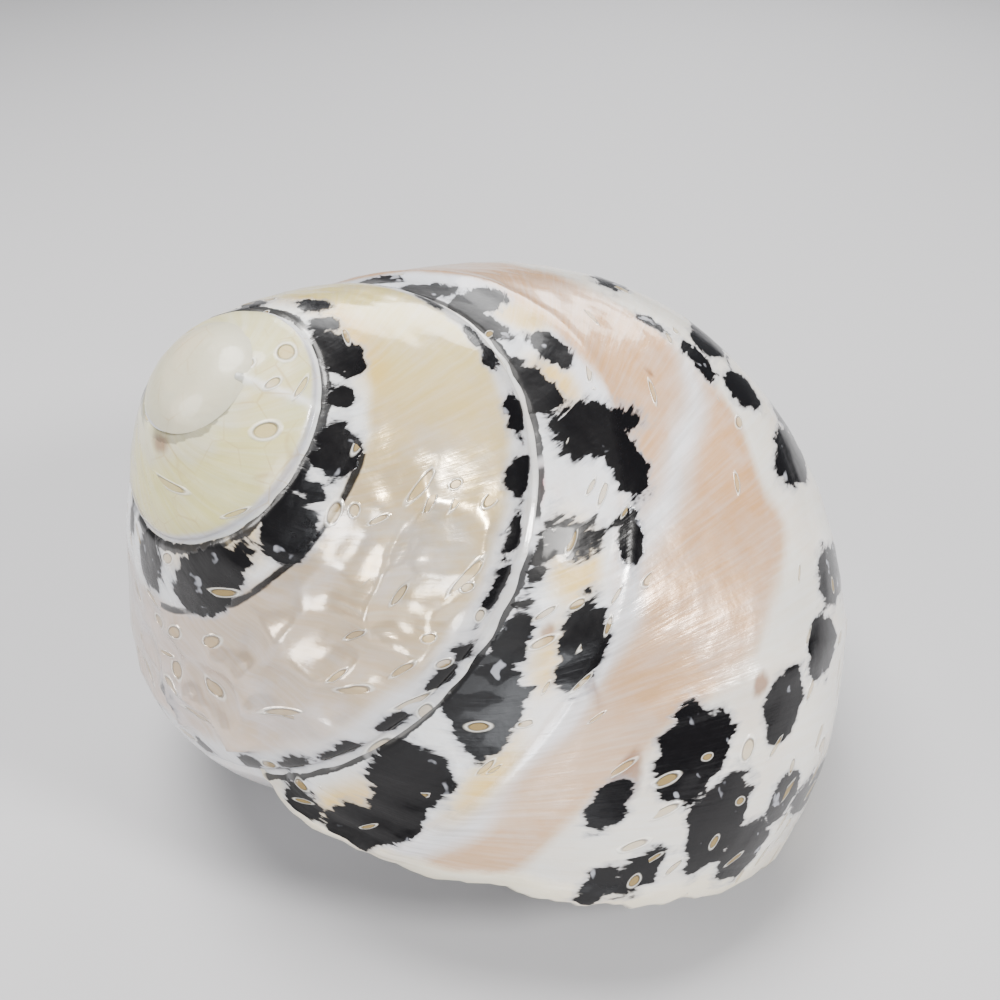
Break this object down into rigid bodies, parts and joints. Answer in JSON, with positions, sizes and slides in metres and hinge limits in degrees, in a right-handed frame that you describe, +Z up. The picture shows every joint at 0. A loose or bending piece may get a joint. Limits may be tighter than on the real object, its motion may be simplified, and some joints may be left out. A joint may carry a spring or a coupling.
{
  "type": "turban shell",
  "caption": "Polished sea snail shell with a low spire, a wide round body whorl and a pearly hollow mouth, lying mouth down as a display piece.",
  "frame": {"origin": "centre of the bounding box at the surface the shell lies on", "axes": "+Z up from the resting surface, -Y towards the viewer who sees the lip along the near edge and the apex up on the left, +X to the viewer's right"},
  "size_m": [0.0876, 0.0824, 0.0658],
  "materials": {
    "shell": "polished cream and white shell with black blotches, peach and pearly worn bands"
  },
  "bodies": {
    "root": {"shell": "shell"}
  },
  "joints": []
}
